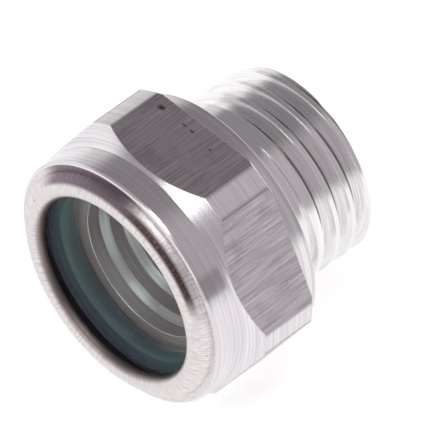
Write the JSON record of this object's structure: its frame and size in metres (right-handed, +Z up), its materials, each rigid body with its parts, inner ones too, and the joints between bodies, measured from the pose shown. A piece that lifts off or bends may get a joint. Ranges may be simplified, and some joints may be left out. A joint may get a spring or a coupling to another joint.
{
  "type": "tank level gauge",
  "caption": "Screw-in round sight gauge for an oil tank: glass window held in a hexagon body by a rolled rim, sealed by an O-ring.",
  "frame": {"origin": "on the axis, in the plane of the sealing shoulder behind the hexagon", "axes": "+Y along the axis from the shoulder towards the end of the thread, so the window looks towards -Y; +Z up, square to two level flats of the hexagon"},
  "size_m": [0.0207, 0.0177, 0.0188],
  "materials": {
    "turned_alloy": "turned",
    "clear_glass": "polished",
    "green_rubber": "smooth"
  },
  "bodies": {
    "root": {"body": "turned_alloy", "sight_glass": "clear_glass", "seal_ring": "green_rubber"}
  },
  "joints": []
}
